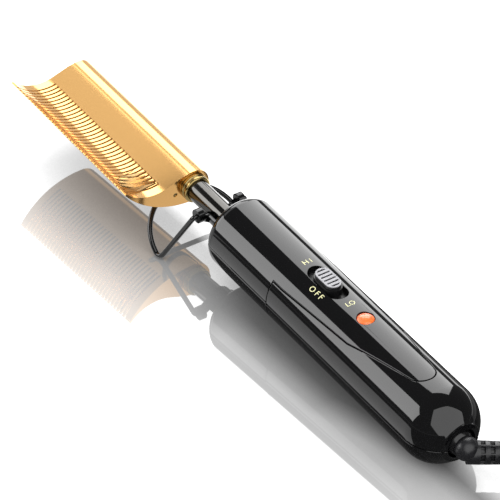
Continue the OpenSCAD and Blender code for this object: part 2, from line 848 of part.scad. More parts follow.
module switch_knob() {
    top = handle_r + knob_proud;
    crown = 1.8;
    step = top - crown;
    pitch = (knob_len - 2.2) / groove_count;
    color("#4A4A4E") posed() translate([switch_x, 0, 0]) difference() {
        union() {
            translate([0, 0, inner_r - 3]) linear_extrude(height = step - inner_r + 3) oval(knob_len, knob_w);
            translate([0, 0, step]) linear_extrude(height = crown) oval(knob_len - 1.4, knob_w - 1.1);
        }
        along_x() cylinder(r = plate_out + 0.02, h = far, center = true, $fn = 180);
        for (i = [0:groove_count - 1])
            translate([(i - (groove_count - 1) / 2) * pitch - knob_groove / 2, -knob_w, top - 0.6])
                cube([knob_groove, 2 * knob_w, 2]);
    }
}

module indicator_lens() {
    r = lens_d / 2;
    top = handle_r + lens_proud;
    cap_h = 1.4;
    cap_r = (r * r + cap_h * cap_h) / (2 * cap_h);
    flange_top = sqrt(inner_r * inner_r - pow(r + 0.8, 2)) - 0.3;
    color("#FF6A4A") posed() translate([lens_x, 0, 0]) {
        translate([0, 0, flange_top - 1.2]) cylinder(r = r + 0.8, h = 1.2, $fn = 64);
        intersection() {
            translate([0, 0, flange_top - 0.5]) cylinder(r = r, h = top - flange_top + 0.5, $fn = 64);
            translate([0, 0, top - cap_r]) sphere(r = cap_r, $fn = 96);
        }
    }
}

module indicator_lamp() {
    lamp_r = 2.5;
    lamp_h = 5.5;
    color("#E04030") posed() translate([lens_x, 0, board_top]) {
        cylinder(r = lamp_r, h = lamp_h, $fn = 48);
        translate([0, 0, lamp_h]) sphere(r = lamp_r, $fn = 48);
    }
}

module mains_wires() {
    start = spindle_front + 0.2;
    top = board_top + lead_r;
    on_board = [[board_back - 6, 1.5], [board_back - 1.5, top], [board_back + 2.5, top]];
    color("#6E3A2A") posed() for (s = [-1, 1]) {
        swept(smooth_line(concat(
            [for (p = mains_rise) [start + p[0], s * p[1], p[2]]],
            [for (p = on_board) [p[0], s * lead_pad_y, p[1]]]
        ), 3), lead_r, 8);
    }
}

module brush_block() {
    block_x = bearing_x + bearing_t + 0.4;
    block_w = 11;
    color("#2F2F31") posed() translate([block_x, -block_w / 2, brush_at_z])
        cube([spindle_front - block_x, block_w, brush_t]);
}

function ring_at(i) = bearing_x + bearing_t + 1.2 + i * 2 * ring_len;

module brush_contacts() {
    contact_w = 3;
    foot_z = brush_at_z + brush_t;
    color("#C9A24A") posed() for (i = [0, 1])
        translate([ring_at(i) + 0.2, -contact_w / 2, foot_z])
            cube([ring_len - 0.4, contact_w, -foot_z - ring_out_r - 0.15]);
}

module swivel_spindle() {
    color("#3A3A3C") posed() difference() {
        translate([ball_x, 0, 0]) along_x() cylinder(r = spindle_r, h = spindle_front - ball_x, $fn = 64);
        translate([ball_x, 0, 0]) sphere(r = ball_r + 0.02, $fn = 96);
    }
}

module slip_rings() {
    color("#C9A24A") posed() for (i = [0, 1])
        translate([ring_at(i), 0, 0]) along_x() difference() {
            cylinder(r = ring_out_r, h = ring_len, $fn = 64);
            translate([0, 0, -1]) cylinder(r = spindle_r + 0.02, h = ring_len + 2, $fn = 64);
        }
}

module swivel_ball() {
    color("#232325") posed() translate([ball_x, 0, 0]) sphere(r = ball_r, $fn = 96);
}

// Boot profile along its own axis: plain thick end, ribs that taper towards the cord
module boot_profile() {
    rib_start = 5.9;
    pitch = 3.95;
    groove = 1.4;
    groove_depth = 0.8;
    end_r = cord_r + 1.2;
    taper = (boot_r - end_r) / (boot_len - rib_start);
    back_r = boot_r + 0.15;
    difference() {
        union() {
            polygon([[0, 0], [boot_r, 0], [boot_r, rib_start], [end_r, boot_len], [0, boot_len]]);
            intersection() {
                circle(r = back_r, $fn = 96);
                translate([0, -back_r - 1]) square([back_r + 1, 2 * back_r]);
            }
        }
        for (s = [rib_start:pitch:boot_len - pitch]) {
            r = boot_r - taper * (s - rib_start) - groove_depth;
            translate([r, s]) square([boot_r, groove]);
        }
        translate([-1, boot_len - boot_bore_len]) square([cord_r + fit + 1, boot_bore_len + 1]);
    }
}

module cord_boot() {
    color("#1E1E20") posed() difference() {
        union() {
            translate([elbow_x, 0, 0]) sphere(r = boot_r + 0.5, $fn = 96);
            translate([elbow_x, 0, -boot_drop])
                rotate([0, 90, 180 + boot_angle]) rotate_extrude($fn = 96) boot_profile();
        }
        translate([ball_x, 0, 0]) sphere(r = ball_r + 0.02, $fn = 96);
    }
}

module cord_lead() {
    start = [boot_point(boot_len - boot_bore_len + 0.5), boot_point(boot_len - 2), boot_point(boot_len + 1)];
    color("#1A1A1C") swept(smooth_line(concat(start, lead_route), 3), cord_r, 12);
}

module cord_coil() {
    color("#1A1A1C") translate([coil_at[0], coil_at[1], 0]) rotate_extrude($fn = 96) {
        translate([coil_in_r, cord_r]) square([coil_out_r - coil_in_r, coil_h - cord_d]);
        translate([coil_in_r + cord_r, 0]) square([coil_out_r - coil_in_r - cord_d, coil_h]);
        for (x = [coil_in_r + cord_r, coil_out_r - cord_r], y = [cord_r, coil_h - cord_r])
            translate([x, y]) circle(r = cord_r, $fn = 48);
    }
}

module plug_lead() {
    color("#1A1A1C") swept(smooth_line(plug_route, 3), cord_r, 12);
}

module plug_boot() {
    color("#1E1E20") translate(plug_at) rotate([0, -90, 0]) rotate_extrude($fn = 64) difference() {
        polygon([
            [0, 0], [cord_r + 0.9, 0], [cord_r + 2.6, plug_boot_len], [0, plug_boot_len]
        ]);
        for (s = [2:3:plug_boot_len - 3]) translate([cord_r + 0.6 + s * 0.12, s]) square([4, 1.3]);
        translate([-1, -1]) square([cord_r + fit + 1, 8]);
    }
}

// Plug body: a rounded block that narrows towards its boot
module plug_body() {
    neck_w = plug_w - 8;
    body_x = plug_at[0] - plug_boot_len;
    color("#1E1E20") translate([body_x, plug_at[1], plug_at[2]]) rotate([0, -90, 0]) {
        translate([-plug_h / 2, -plug_w / 2 + 3, 9]) cube([plug_h, plug_w - 6, plug_body_len - 9]);
        for (s = [-1, 1]) translate([0, s * (plug_w / 2 - 3), 9]) intersection() {
            translate([-plug_h / 2, -3, 0]) cube([plug_h, 6, plug_body_len - 9]);
            cylinder(r = 7.1, h = plug_body_len - 9, $fn = 64);
        }
        translate([-plug_h / 2 + 1, -neck_w / 2, 0]) cube([plug_h - 2, neck_w, 9]);
    }
}

module plug_blades() {
    tip = plug_at[0] - plug_boot_len - plug_body_len - blade_len;
    color("#C8B070") for (s = [-1, 1])
        translate([tip, plug_at[1] + s * blade_pitch / 2 - blade_t / 2, plug_at[2] - blade_w / 2])
            difference() {
                union() {
                    translate([2, 0, 0]) cube([blade_len - 2, blade_t, blade_w]);
                    translate([0, 0, 1]) cube([blade_len, blade_t, blade_w - 2]);
                }
                translate([3.5, -1, blade_w / 2]) rotate([-90, 0, 0])
                    cylinder(d = 3, h = blade_t + 2, $fn = 32);
            }
}

comb_head();
comb_screw();
heater_rod();
thermal_fuse();
ferrule();
barrel_tube();
barrel_flange();
heat_washer();
heater_wires();
stand_bracket();
wire_stand();
front_upper_shell();
front_lower_shell();
rear_upper_shell();
rear_lower_shell();
housing_screws();
circuit_board();
board_components();
slide_switch();
switch_lever();
slot_shutter();
switch_knob();
indicator_lens();
indicator_lamp();
mains_wires();
brush_block();
brush_contacts();
swivel_spindle();
slip_rings();
swivel_ball();
cord_boot();
cord_lead();
cord_coil();
plug_lead();
plug_boot();
plug_body();
plug_blades();
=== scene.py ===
# %% [markdown]
# # Electric hot comb on its folding wire stand
# A heated comb for pressing hair: a gold cast comb head with a round spine, a neck plated with
# black nickel, a glossy black handle with a sliding heat switch and a power lens, a wire stand
# that folds under the neck, and a mains cord on a swivel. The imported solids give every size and
# place. This notebook loads them, sets up the studio, and then finishes one piece at a time.

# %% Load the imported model
import json
import math

import bpy
from mathutils import Matrix, Vector


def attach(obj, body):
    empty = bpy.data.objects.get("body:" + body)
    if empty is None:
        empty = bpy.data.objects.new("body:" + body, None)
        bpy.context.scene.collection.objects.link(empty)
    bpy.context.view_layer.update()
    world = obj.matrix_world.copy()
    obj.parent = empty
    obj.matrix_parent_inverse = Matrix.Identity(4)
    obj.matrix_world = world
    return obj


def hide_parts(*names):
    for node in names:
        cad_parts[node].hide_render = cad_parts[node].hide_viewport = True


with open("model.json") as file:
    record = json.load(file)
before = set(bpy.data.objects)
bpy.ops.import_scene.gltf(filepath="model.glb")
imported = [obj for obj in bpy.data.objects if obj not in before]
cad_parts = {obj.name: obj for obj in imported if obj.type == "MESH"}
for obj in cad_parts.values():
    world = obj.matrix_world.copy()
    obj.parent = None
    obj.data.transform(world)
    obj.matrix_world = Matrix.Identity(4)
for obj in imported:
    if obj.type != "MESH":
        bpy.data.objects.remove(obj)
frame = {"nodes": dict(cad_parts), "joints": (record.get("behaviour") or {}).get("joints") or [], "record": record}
bpy.ops.object.select_all(action="DESELECT")
nodes = frame["nodes"]
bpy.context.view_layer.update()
MM = 0.001

# %% [markdown]
# The comb and handle lie along one straight axis, which is tilted a little because the tail
# rests on the table and the stand holds the comb end up. The switch slides along that axis and
# the cord swivel turns about it, so the joints give its direction and one point on it. Every
# piece on the handle is drawn in the handle's own millimetres and stood on the table by `stood`.

# %% The handle's own frame
joints = {joint["name"]: joint for joint in frame["joints"]}
axis_dir = Vector(joints["cord_turn"]["axis"]).normalized()
swivel_at = Vector(joints["cord_turn"]["pos_m"])
BALL_X = -146 * MM
tilt = math.atan2(axis_dir.z, axis_dir.x)
up_dir = Vector((-math.sin(tilt), 0, math.cos(tilt)))
handle_frame = Matrix.Translation(swivel_at - BALL_X * axis_dir) @ Matrix.Rotation(-tilt, 4, "Y")


def stood(x, y, z):
    """A point given in the handle's millimetres, in the model's metres."""
    return handle_frame @ Vector((x * MM, y * MM, z * MM))


print("tilt in degrees:", round(math.degrees(tilt), 3), "axis origin:", handle_frame.translation)

# %% [markdown]
# The camera stands to the left behind the handle's tail and looks down on the comb with a long
# lens, so the comb runs away to the upper left almost without perspective. Its height above the
# table and its heading are two plain angles, which set its rotation.

# %% Camera
# Angles in degrees; lens and sensor in mm; sight, the furthest that the camera sees, in metres
CAMERA_AT = Vector((-818.9, 552.7, 777.94)) * MM
LOOK_DOWN = math.radians(37.316)
HEADING = math.radians(-34.132)
LENS, SENSOR, SIGHT = 202.47, 36, 20
camera_data = bpy.data.cameras.new("camera")
camera_data.lens = LENS
camera_data.sensor_width = SENSOR
camera_data.clip_end = SIGHT
camera = bpy.data.objects.new("camera", camera_data)
camera.location = CAMERA_AT
camera.rotation_euler = (math.pi / 2 - LOOK_DOWN, 0, HEADING - math.pi / 2)
bpy.context.collection.objects.link(camera)
bpy.context.scene.camera = camera
bpy.context.scene.view_settings.view_transform = "Standard"
print("camera at", camera.location, "lens", LENS)

# %% [markdown]
# The mains cord leaves the boot, swings round and is wound into a flat round coil of two
# columns: down the outer one, in to the inner one, up that, and out along the top to the plug,
# which lies on the coil. The free ends follow given points. The turns are worked out by a
# loop, and each step between layers or columns is a short smooth ramp.

# %% Cord route
# Places and sizes in mm, angles in degrees
CORD_D = 6
COIL_AT = (-217, -30)
COLUMN_OUT, COLUMN_IN = 35, 29
BOOT_END = [(-167.79, -28.65, 14.3), (-170.86, -33.21, 14.14), (-172.53, -35.7, 14.06)]
# The lead's last point lies on the coil, where the winding starts
LEAD_ROUTE = [
    (-178, -43.8, 14.4), (-184, -52, 14.5), (-192, -58.8, 14.7), (-201.5, -62.9, 14.9), (-212, -64.8, 15)
]
PLUG_ROUTE = [
    (-200, 0, 21), (-187, -12, 21.2), (-183, -22, 22.5), (-182, -31, 24.8), (-185, -42, 27.6),
    (-192.5, -50, 29.6), (-199, -53.2, 30.4), (-206, -54, 30.5), (-211, -54, 30.5)
]
# Each stretch of the winding: the angle where it ends, its column, and its layer from the table up
WINDING = [
    (-320, COLUMN_OUT, 2), (-680, COLUMN_OUT, 1), (-980, COLUMN_OUT, 0), (-1160, COLUMN_IN, 0),
    (-1520, COLUMN_IN, 1), (-1880, COLUMN_IN, 2), (-2180, COLUMN_IN, 3), (-2448, COLUMN_OUT, 3)
]
WIND_START, CROSSING, TURN_STEP = -82, 60, 12
LINE_STEPS = 3


def eased(t):
    """Runs from 0 to 1 as `t` does, slow at both ends."""
    return t * t * (3 - 2 * t)


def coil_points():
    """The winding in mm: level stretches, and crossings that ease to the next layer or column."""
    legs = []
    start = WIND_START
    for end, column, layer in WINDING:
        level = (layer + 0.5) * CORD_D
        legs += [(start, column, level), (end, column, level)]
        start = end - CROSSING
    points = []
    for (a0, r0, z0), (a1, r1, z1) in zip(legs, legs[1:]):
        count = round((a0 - a1) / TURN_STEP)
        for i in range(count):
            t = eased(i / count)
            angle = math.radians(a0 + (a1 - a0) * i / count)
            r, z = r0 + (r1 - r0) * t, z0 + (z1 - z0) * t
            points.append((COIL_AT[0] + r * math.cos(angle), COIL_AT[1] + r * math.sin(angle), z))
    return points


def smooth_line(points, steps):
    """Catmull-Rom line through the points, in metres."""
    p = [Vector(point) for point in points]
    line = []
    for i in range(len(p) - 1):
        a, b, c, d = p[max(i - 1, 0)], p[i], p[i + 1], p[min(i + 2, len(p) - 1)]
        for k in range(steps):
            t = k / steps
            line.append(0.5 * (2 * b + (c - a) * t + (2 * a - 5 * b + 4 * c - d) * t**2
                               + (3 * b - a - 3 * c + d) * t**3))
    return [point * MM for point in line + [p[-1]]]


def length_of(line):
    return sum((b - a).length for a, b in zip(line, line[1:]))


cord_line = smooth_line(BOOT_END + LEAD_ROUTE[:-1] + coil_points() + PLUG_ROUTE, LINE_STEPS)
print("cord centre line:", round(length_of(cord_line), 3), "m, points:", len(cord_line))

# %% Cord
curve = bpy.data.curves.new("mains_cord", "CURVE")
curve.dimensions = "3D"
# With a depth of 1, each point's radius is the cord's own
curve.bevel_depth = 1
curve.bevel_resolution = 5
curve.use_fill_caps = True
spline = curve.splines.new("POLY")
spline.points.add(len(cord_line) - 1)
for point, place in zip(spline.points, cord_line):
    point.co = (*place, 1)
    point.radius = CORD_D / 2 * MM
spline.use_smooth = True
cord = bpy.data.objects.new("mains_cord", curve)
bpy.context.collection.objects.link(cord)
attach(cord, "cord_swivel")
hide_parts("cord_lead", "cord_coil", "plug_lead")

# %% [markdown]
# Every material below is a small tree of nodes. One helper adds a node, sets it up and links it,
# so that a tree reads from top to bottom like a recipe. A mix of colours has its share in socket 0
# and its two colours in sockets 6 and 7.

# %% Colour and node helpers
def linear(hex_code, alpha=1.0):
    """An sRGB hex value as a linear colour."""
    parts = [int(hex_code[i:i + 2], 16) / 255 for i in (1, 3, 5)]
    return (*[p / 12.92 if p <= 0.04045 else ((p + 0.055) / 1.055) ** 2.4 for p in parts], alpha)


def add_node(tree, kind, inputs=None, **settings):
    """Adds one node, sets it up, and fills or links its inputs."""
    node = tree.nodes.new(kind)
    for name, value in settings.items():
        setattr(node, name, value)
    for name, value in (inputs or {}).items():
        if isinstance(value, bpy.types.NodeSocket):
            tree.links.new(value, node.inputs[name])
        else:
            node.inputs[name].default_value = value
    return node


def new_material(name):
    material = bpy.data.materials.new(name)
    material.use_nodes = True
    material.node_tree.nodes.clear()
    return material, material.node_tree


WHITE = (1, 1, 1, 1)
print("the comb's gold as a linear colour:", [round(part, 3) for part in linear("#EDBB78")])

# %% [markdown]
# The studio's air is white to the camera. To reflections it is dim overhead, so that black plastic
# looks black, and a little lighter near the horizon. To plain light it is an even soft fill.

# %% World
CEILING, HORIZON, HAZE = 0.12, 0.35, 0.03
FILL = 0.25
world = bpy.data.worlds.new("studio")
bpy.context.scene.world = world
world.use_nodes = True
air = world.node_tree
air.nodes.clear()
rays = add_node(air, "ShaderNodeLightPath")
direction = add_node(air, "ShaderNodeTexCoord")
height = add_node(air, "ShaderNodeSeparateXYZ", {0: direction.outputs["Generated"]})
dimmed = add_node(air, "ShaderNodeMapRange", {
    "Value": height.outputs["Z"], "From Min": 0.0, "From Max": HAZE, "To Min": HORIZON, "To Max": CEILING})
mirrored = add_node(air, "ShaderNodeMath", {
    0: rays.outputs["Is Glossy Ray"], 1: rays.outputs["Is Transmission Ray"]}, operation="MAXIMUM")
reflected = add_node(air, "ShaderNodeMix", {
    "Factor": mirrored.outputs[0], "A": FILL, "B": dimmed.outputs[0]}, data_type="FLOAT")
strength = add_node(air, "ShaderNodeMix", {
    "Factor": rays.outputs["Is Camera Ray"], "A": reflected.outputs[0], "B": 1.0}, data_type="FLOAT")
sky = add_node(air, "ShaderNodeBackground", {"Color": WHITE, "Strength": strength.outputs[0]})
add_node(air, "ShaderNodeOutputWorld", {"Surface": sky.outputs[0]})
print("air: 1 to the camera,", HORIZON, "to", CEILING, "to reflections,", FILL, "to plain light")

# %% [markdown]
# The table is polished and white. To the camera it is a glowing white sheet under a clear mirror,
# with the soft shadow of the comb and handle painted into its glow by place and deepened by
# ambient occlusion, and it keeps the comb's reflection. To reflections in the plastic it is a white
# sheet beside the handle with a painted dark band of shade under it, which gives the crisp dark
# bands low on the sides. To plain light it is a white board that sends light back up. Each of the
# first two is one brightness, which starts from a level and passes to others by place.

# %% Table top
TABLE_SIZE = 8
bpy.ops.mesh.primitive_plane_add(size=TABLE_SIZE)
floor = bpy.context.object
floor.name = "floor"
material, table = new_material("polished_white_table")
floor.data.materials.append(material)
place = add_node(table, "ShaderNodeTexCoord")
across = add_node(table, "ShaderNodeSeparateXYZ", {0: place.outputs["Object"]})
across_x, across_y = across.outputs["X"], across.outputs["Y"]


def passing(before, value, span, after):
    """A level of the table that is `before` up to the span's start and `after` beyond its end."""
    share = add_node(table, "ShaderNodeMapRange", {
        "Value": value, "From Min": span[0], "From Max": span[1]})
    level = add_node(table, "ShaderNodeMix", {
        "Factor": share.outputs[0], "A": before, "B": after}, data_type="FLOAT")
    return level.outputs[0]


print("table top", TABLE_SIZE, "m wide")

# %% Painted shade on the table
# Spans are places on the table in metres: X runs along the comb, Y away from it to the near side
# Levels of the table's glow: the painted shadow at its deepest, and bare white
DEEP_SHADE, BARE_WHITE = 0.35, 1.5
TAIL_SPAN, TAIL_DRIFT = (-0.14, -0.08), 0.018
HANDLE_SPAN, BY_HANDLE = (0.008, 0.024), 0.88
COMB_SPAN, BY_COMB = (0.0, 0.05), 0.96
NECK_SPAN = (-0.02, 0.0)
MIDDLE_X = -0.02
NEAR_SPAN, END_SPAN, FAR_SPAN = (0.052, 0.075), (0.155, 0.195), (-0.012, -0.004)
# The painted shade under the handle is narrow and runs out toward the tail; under the comb it is wide
drift = passing(TAIL_DRIFT, across_x, TAIL_SPAN, 0.0)
from_handle = add_node(table, "ShaderNodeMath", {0: across_y, 1: drift}, operation="ADD")
by_handle = passing(DEEP_SHADE, from_handle.outputs[0], HANDLE_SPAN, BY_HANDLE)
by_comb = passing(DEEP_SHADE, across_y, COMB_SPAN, BY_COMB)
painted_shade_level = passing(by_handle, across_x, NECK_SPAN, by_comb)
# Further off, past both ends and on the far side, the table is bare white
from_middle = add_node(table, "ShaderNodeMath", {0: across_x, 1: MIDDLE_X}, operation="SUBTRACT")
outward = add_node(table, "ShaderNodeMath", {0: from_middle.outputs[0]}, operation="ABSOLUTE")
painted_shade_level = passing(painted_shade_level, across_y, NEAR_SPAN, BARE_WHITE)
painted_shade_level = passing(painted_shade_level, outward.outputs[0], END_SPAN, BARE_WHITE)
painted_shade_level = passing(BARE_WHITE, across_y, FAR_SPAN, painted_shade_level)
print("shade from", DEEP_SHADE, "under the comb to", BARE_WHITE, "in the clear")

# %% What reflections see of the table
# A span as short as this is a crisp edge
CRISP = 0.001 * MM
FAR_LEVEL = 1.0
# Where each band beside the handle begins, and its level; the dark band under the handle is painted shade
BANDS = [(-0.5, 0.3), (-0.1, 0.06), (0.026, 1.2), (0.19, 0.12)]
SHEET_SLANT, SHEET_END, BEHIND_SHEET = -0.345, -0.145, 0.1
NECK_SLANT, NECK_START = -0.8, 0.015
NECK_FAR_LEVEL, NECK_LEVEL, NECK_FAR_SPAN = 2.4, 0.8, (-0.045, -0.03)
gloss_level = FAR_LEVEL
for start, level in BANDS:
    gloss_level = passing(gloss_level, across_y, (start, start + CRISP), level)
# The bright band ends along a slanted edge beside the tail
slanted = add_node(table, "ShaderNodeMath", {0: across_y, 1: SHEET_SLANT, 2: across_x},
                   operation="MULTIPLY_ADD")
gloss_level = passing(BEHIND_SHEET, slanted.outputs[0], (SHEET_END, SHEET_END + CRISP), gloss_level)
# What the neck and the comb see of the table lies ahead of another slanted edge, and is bare white
aside = add_node(table, "ShaderNodeMath", {0: across_y, 1: 0.0}, operation="MAXIMUM")
onward = add_node(table, "ShaderNodeMath", {0: aside.outputs[0], 1: NECK_SLANT, 2: across_x},
                  operation="MULTIPLY_ADD")
neck_level = passing(NECK_FAR_LEVEL, across_y, NECK_FAR_SPAN, NECK_LEVEL)
gloss_level = passing(gloss_level, onward.outputs[0], (NECK_START, NECK_START + CRISP), neck_level)
print("bands beside the handle:", BANDS)

# %% The table's finish
MIRROR_SHARE, MIRROR_ROUGHNESS = 0.22, 0.03
SHADE_REACH, SHADE_SAMPLES = 0.05, 12
BOARD = (0.8, 0.8, 0.8, 1)
rays = add_node(table, "ShaderNodeLightPath")
# How open each spot of the table is to the light: 0 right under the comb, 1 in the clear
opened = add_node(table, "ShaderNodeAmbientOcclusion", {"Distance": SHADE_REACH}, samples=SHADE_SAMPLES)
shaded = add_node(table, "ShaderNodeMath", {0: painted_shade_level, 1: opened.outputs["AO"]},
                  operation="MULTIPLY")
paper = add_node(table, "ShaderNodeEmission", {"Color": WHITE, "Strength": shaded.outputs[0]})
mirror = add_node(table, "ShaderNodeBsdfGlossy", {
    "Color": opened.outputs["Color"], "Roughness": MIRROR_ROUGHNESS})
to_camera = add_node(table, "ShaderNodeMixShader", {
    "Fac": MIRROR_SHARE, 1: paper.outputs[0], 2: mirror.outputs[0]})
to_gloss = add_node(table, "ShaderNodeEmission", {"Color": WHITE, "Strength": gloss_level})
board = add_node(table, "ShaderNodeBsdfDiffuse", {"Color": BOARD})
indirect = add_node(table, "ShaderNodeMixShader", {
    "Fac": rays.outputs["Is Glossy Ray"], 1: board.outputs[0], 2: to_gloss.outputs[0]})
both = add_node(table, "ShaderNodeMixShader", {
    "Fac": rays.outputs["Is Camera Ray"], 1: indirect.outputs[0], 2: to_camera.outputs[0]})
add_node(table, "ShaderNodeOutputMaterial", {"Surface": both.outputs[0]})
print(material.name, "with", len(table.nodes), "nodes")

# %% [markdown]
# Long softboxes parallel to the handle draw the long crisp bands on it, a wide panel behind shows
# on the round tail, and two cards close over the comb light the comb alone. All are flat panels
# that glow. The camera doesn't see them, and they cast no shadow.

# %% Softboxes
# In metres: how far off the axis the panels are, and how far along it they run
DISTANCE = 1.6
FAR_END = 4.0


def softbox(name, corners, strength):
    """A flat glowing panel through its corners, facing the handle; the camera doesn't see it."""
    mesh = bpy.data.meshes.new(name)
    mesh.from_pydata([tuple(corner) for corner in corners], [], [list(range(len(corners)))])
    panel = bpy.data.objects.new(name, mesh)
    bpy.context.collection.objects.link(panel)
    material, tree = new_material(name)
    glow = add_node(tree, "ShaderNodeEmission", {"Color": WHITE, "Strength": strength})
    add_node(tree, "ShaderNodeOutputMaterial", {"Surface": glow.outputs[0]})
    mesh.materials.append(material)
    panel.visible_camera = False
    panel.visible_shadow = False
    print(name, "strength", strength)


def toward(along, around, distance):
    """A point `distance` metres off: `along` is the axis's share of the way, `around` the angle from up."""
    side = math.sqrt(1 - along**2)
    angle = math.radians(around)
    way = along * axis_dir + side * (math.sin(angle) * Vector((0, 1, 0)) + math.cos(angle) * up_dir)
    return handle_frame.translation + way * distance


def strip(name, near_end, strength):
    """A long panel beside the handle; `near_end` has angles round the axis and reaches along it."""
    corners = [toward(0, angle, DISTANCE) + axis_dir * reach for angle, reach in near_end]
    far_angles = (near_end[-1][0], near_end[0][0])
    corners += [toward(0, angle, DISTANCE) + axis_dir * FAR_END for angle in far_angles]
    softbox(name, corners, strength)


strip("softbox_right", [(-77, 0.9), (-66, 0.75), (-35, 0.17), (-7, 0.95)], 4.2)
strip("softbox_left", [(41, 0.75), (55, 0.26), (81, 0.45)], 4.6)
TAIL_PANEL = [
    (-0.353, -13), (-0.201, 22), (-0.511, 58), (-0.856, 85), (-0.977, -89), (-0.814, -72), (-0.58, -53)
]
softbox("softbox_back", [toward(along, around, DISTANCE) for along, around in TAIL_PANEL], 2.0)

# %% Cards over the comb
# An even card for the web and a dimmer one for the far side of the spine. Both are so near that
# the handle doesn't see them.
NEAR_CARD = 0.25
CARD_START, CARD_END = 0.245, 0.5


def card(name, start, end, strength):
    """A panel over the comb head, from one angle round the axis to another."""
    corners = [toward(0, angle, NEAR_CARD) + axis_dir * reach for angle, reach in (
        (start, CARD_START), (end, CARD_START), (end, CARD_END), (start, CARD_END))]
    softbox(name, corners, strength)


card("card_web", -10, 38, 0.96)
card("card_spine", -89, -54, 0.85)

# %% [markdown]
# Every piece keeps the finish slot that the record gives it, so one call hands a material to all
# the solids that share a slot. Most of them are moulded or drawn parts whose colour and gloss
# waver a little over a fine grain. `finish` builds such a material: two close tones mixed by
# noise of a real size in millimetres, a roughness that wavers with them, and the same grain
# raised a little. Materials with a pattern of their own are built up node by node further down.

# %% Finishes and slots
bodies = frame["record"]["behaviour"]["bodies"]
body_of = {name: body for body, names in bodies.items() for name in names}
slot_of = {name: node.material_slots[0].material.name for name, node in nodes.items()}
# The noise lies mostly between these two values
NOISE_LOW, NOISE_HIGH = 0.3, 0.7
print("finish slots:", ", ".join(sorted(set(slot_of.values()))))


def finish(name, tones, grain, raised, gloss, **surface):
    """Two close tones; `grain` and its relief `raised` are in mm, `gloss` spans the roughness."""
    material, tree = new_material(name)
    place = add_node(tree, "ShaderNodeTexCoord")
    noise = add_node(tree, "ShaderNodeTexNoise", {
        "Vector": place.outputs["Object"], "Scale": 1 / (grain * MM), "Detail": 3.0, "Roughness": 0.55})
    tone = add_node(tree, "ShaderNodeMix", {
        0: noise.outputs["Fac"], 6: linear(tones[0]), 7: linear(tones[1])}, data_type="RGBA")
    rough = add_node(tree, "ShaderNodeMapRange", {
        "Value": noise.outputs["Fac"], "From Min": NOISE_LOW, "From Max": NOISE_HIGH,
        "To Min": gloss[0], "To Max": gloss[1]})
    relief = add_node(tree, "ShaderNodeBump", {
        "Height": noise.outputs["Fac"], "Strength": 1.0, "Distance": raised * MM})
    skin = add_node(tree, "ShaderNodeBsdfPrincipled", {
        "Base Color": tone.outputs[2], "Roughness": rough.outputs[0], "Normal": relief.outputs[0],
        **surface})
    add_node(tree, "ShaderNodeOutputMaterial", {"Surface": skin.outputs[0]})
    return material


def dress(slot_name, material):
    """Gives a material to every solid with this finish slot."""
    dressed = [name for name in nodes if slot_of[name] == slot_name]
    for name in dressed:
        nodes[name].data.materials[0] = material
    print(material.name, "on", ", ".join(dressed))


def alone(piece):
    """Selects one object and makes it active, so that an operator works on it only."""
    bpy.ops.object.select_all(action="DESELECT")
    piece.select_set(True)
    bpy.context.view_layer.objects.active = piece


# %% [markdown]
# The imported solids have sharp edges. On the real pieces every cast or moulded edge is slightly
# round and catches a thin line of light, and that line is what makes a seam look like a seam.
# Each solid whose edges are seen is copied, its loose triangles are merged into clean faces, and
# a bevel rounds its sharp edges. Normals weighted by area then keep the large faces even.

# %% Rounded copies of solids
# Corners closer than this, in mm, are one; faces that turn by less than this, in degrees, are one
MERGE_WITHIN = 0.002
FLAT_WITHIN = 0.3


def round_edges(piece, width, corner, clamped=True):
    """Rounds by `width` mm the active piece's edges that turn by more than `corner` degrees."""
    bevel = piece.modifiers.new("edges", "BEVEL")
    bevel.width = width * MM
    bevel.segments = 2
    bevel.limit_method = "ANGLE"
    bevel.angle_limit = math.radians(corner)
    bevel.use_clamp_overlap = clamped
    bpy.ops.object.modifier_apply(modifier=bevel.name)
    bpy.ops.object.shade_smooth_by_angle(angle=math.radians(corner))


def softened(name, width, corner=28, clamped=True):
    """Makes a copy of a solid with edges rounded by `width` mm, which stands in for it."""
    piece = bpy.data.objects.new(name + "_rounded", nodes[name].data.copy())
    bpy.context.collection.objects.link(piece)
    alone(piece)
    bpy.ops.object.mode_set(mode="EDIT")
    bpy.ops.mesh.select_all(action="SELECT")
    bpy.ops.mesh.remove_doubles(threshold=MERGE_WITHIN * MM)
    bpy.ops.mesh.dissolve_limited(angle_limit=math.radians(FLAT_WITHIN))
    bpy.ops.object.mode_set(mode="OBJECT")
    round_edges(piece, width, corner, clamped)
    even = piece.modifiers.new("even", "WEIGHTED_NORMAL")
    even.keep_sharp = True
    bpy.ops.object.modifier_apply(modifier=even.name)
    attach(piece, body_of[name])
    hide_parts(name)
    print(piece.name, len(piece.data.polygons), "faces")


# %% [markdown]
# The comb head is cast aluminium with a satin gold anodised skin. The casting leaves a very fine
# even tooth on it, so highlights are broad and soft, and the gold is a touch deeper where the
# skin is thicker. A metal's colour is its base colour, and the gloss wavers over a fine grain.
# The gaps between the teeth are sawn after that, so the teeth's flanks are paler and duller. A
# flank is a face that looks along the comb, and lies past the near end wall.

# %% Comb head
# Satin anodised casting: a broad soft highlight, with a fine grain of about a third of a millimetre
gold = finish(
    "satin_gold_anodised_cast_aluminium", ("#E4B06A", "#EDBB78"), 0.35, 0.0012, (0.12, 0.17), Metallic=1.0)
# How squarely a face looks along the comb: no flank up to the first, wholly one from the second
FLANK_FACING = (0.6, 0.8)
TEETH_FROM = 53


